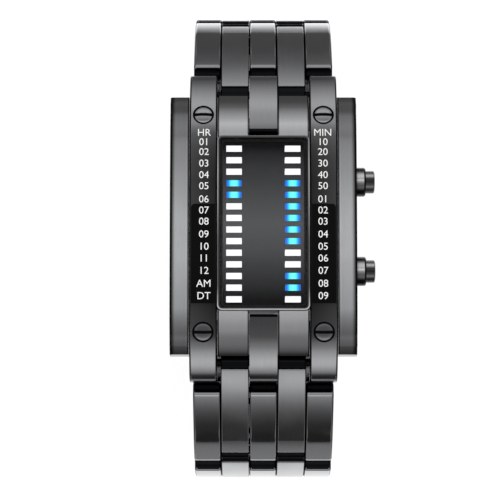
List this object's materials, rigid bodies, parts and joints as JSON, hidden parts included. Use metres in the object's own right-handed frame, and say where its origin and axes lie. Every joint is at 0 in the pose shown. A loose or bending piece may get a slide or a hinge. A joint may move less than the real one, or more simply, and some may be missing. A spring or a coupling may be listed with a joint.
{
  "type": "wristwatch",
  "caption": "Digital wristwatch with two columns of light bars under dark glass, side pushers and a closed steel link bracelet with a folding clasp.",
  "frame": {"origin": "centre of the case back's outer face", "axes": "+Z out through the dial, +Y towards 12 o'clock, +X towards 3 o'clock and the pushers"},
  "size_m": [0.0386, 0.0914, 0.0592],
  "materials": {
    "dark_steel": "brushed, dark gunmetal plating",
    "steel": "brushed, bare",
    "polished_pin": "ground",
    "spring_steel": "drawn wire",
    "glass": "smoked mineral glass",
    "black_mask": "satin black",
    "led": "clear epoxy over white",
    "board": "solder mask",
    "chip": "moulded",
    "can": "drawn can",
    "contact": "gold flashed",
    "holder": "moulded",
    "cell": "nickel plated",
    "gasket": "moulded"
  },
  "bodies": {
    "case": {"case_body": "dark_steel", "rail_left": "dark_steel", "rail_right": "dark_steel", "centre_lug_12": "dark_steel", "centre_lug_6": "dark_steel", "lug_pins": "polished_pin", "rail_screws": "dark_steel", "display_frame": "dark_steel", "glass_gasket": "gasket", "glass": "glass", "led_mask": "black_mask", "hour_leds": "led", "minute_leds": "led", "circuit_board": "board", "driver_chip": "chip", "quartz_can": "can", "switch_contacts": "contact", "movement_holder": "holder", "battery": "cell", "battery_clip": "spring_steel", "back_gasket": "gasket", "case_back": "steel", "back_screws": "steel", "pusher_tubes": "dark_steel", "pusher_seals": "gasket", "spring_upper": "spring_steel", "spring_lower": "spring_steel"},
    "link_12_1": {"link_12_1_outer": "dark_steel", "link_12_1_inner": "dark_steel", "link_12_1_centre": "dark_steel", "link_12_1_pins": "polished_pin"},
    "link_12_2": {"link_12_2_outer": "dark_steel", "link_12_2_inner": "dark_steel", "link_12_2_centre": "dark_steel", "link_12_2_pins": "polished_pin"},
    "link_12_3": {"link_12_3_outer": "dark_steel", "link_12_3_inner": "dark_steel", "link_12_3_centre": "dark_steel", "link_12_3_pins": "polished_pin"},
    "link_6_1": {"link_6_1_outer": "dark_steel", "link_6_1_inner": "dark_steel", "link_6_1_centre": "dark_steel", "link_6_1_pins": "polished_pin"},
    "link_6_2": {"link_6_2_outer": "dark_steel", "link_6_2_inner": "dark_steel", "link_6_2_centre": "dark_steel", "link_6_2_pins": "polished_pin"},
    "link_6_3": {"link_6_3_outer": "dark_steel", "link_6_3_inner": "dark_steel", "link_6_3_centre": "dark_steel", "link_6_3_pins": "polished_pin", "spring_bar": "polished_pin"},
    "clasp_base": {"clasp_base_blade": "steel"},
    "clasp_mid": {"clasp_mid_blade": "steel", "clasp_blade_pin": "polished_pin", "clasp_cover_pin": "polished_pin"},
    "clasp_cover": {"clasp_cover": "dark_steel"},
    "pusher_upper": {"pusher_upper": "dark_steel"},
    "pusher_lower": {"pusher_lower": "dark_steel"}
  },
  "joints": [
    {"name": "link_12_1_hinge", "type": "hinge", "parent": "case", "child": "link_12_1", "pos_m": [0, 0.02555, 0.00357], "axis": [1, 0, 0], "range_deg": [0, 30]},
    {"name": "link_12_2_hinge", "type": "hinge", "parent": "link_12_1", "child": "link_12_2", "pos_m": [0, 0.04111, -0.01127], "axis": [1, 0, 0], "range_deg": [0, 30]},
    {"name": "link_12_3_hinge", "type": "hinge", "parent": "link_12_2", "child": "link_12_3", "pos_m": [0, 0.0422, -0.03274], "axis": [1, 0, 0], "range_deg": [0, 30]},
    {"name": "link_6_1_hinge", "type": "hinge", "parent": "case", "child": "link_6_1", "pos_m": [0, -0.02555, 0.00357], "axis": [-1, 0, 0], "range_deg": [0, 30]},
    {"name": "link_6_2_hinge", "type": "hinge", "parent": "link_6_1", "child": "link_6_2", "pos_m": [0, -0.04111, -0.01127], "axis": [-1, 0, 0], "range_deg": [0, 30]},
    {"name": "link_6_3_hinge", "type": "hinge", "parent": "link_6_2", "child": "link_6_3", "pos_m": [0, -0.0422, -0.03274], "axis": [-1, 0, 0], "range_deg": [0, 30]},
    {"name": "clasp_base_hinge", "type": "hinge", "parent": "link_12_3", "child": "clasp_base", "pos_m": [0, 0.02355, -0.04346], "axis": [1, 0, 0], "range_deg": [0, 30]},
    {"name": "clasp_fold", "type": "hinge", "parent": "clasp_base", "child": "clasp_mid", "pos_m": [0, -0.01855, -0.04431], "axis": [-1, 0, 0], "range_deg": [0, 110]},
    {"name": "clasp_cover_hinge", "type": "hinge", "parent": "clasp_mid", "child": "clasp_cover", "pos_m": [0, 0.01855, -0.04516], "axis": [1, 0, 0], "range_deg": [0, 110]},
    {"name": "pusher_upper_slide", "type": "slide", "parent": "case", "child": "pusher_upper", "axis": [-1, 0, 0], "range_m": [0, 0.0009], "stiffness_N_per_m": 2000, "springref_m": -0.0006, "deforming": ["spring_upper"]},
    {"name": "pusher_lower_slide", "type": "slide", "parent": "case", "child": "pusher_lower", "axis": [-1, 0, 0], "range_m": [0, 0.0009], "stiffness_N_per_m": 2000, "springref_m": -0.0006, "deforming": ["spring_lower"]}
  ],
  "couplings": [
    {"joint": "clasp_cover_hinge", "follows": "clasp_fold", "ratio": 1}
  ]
}
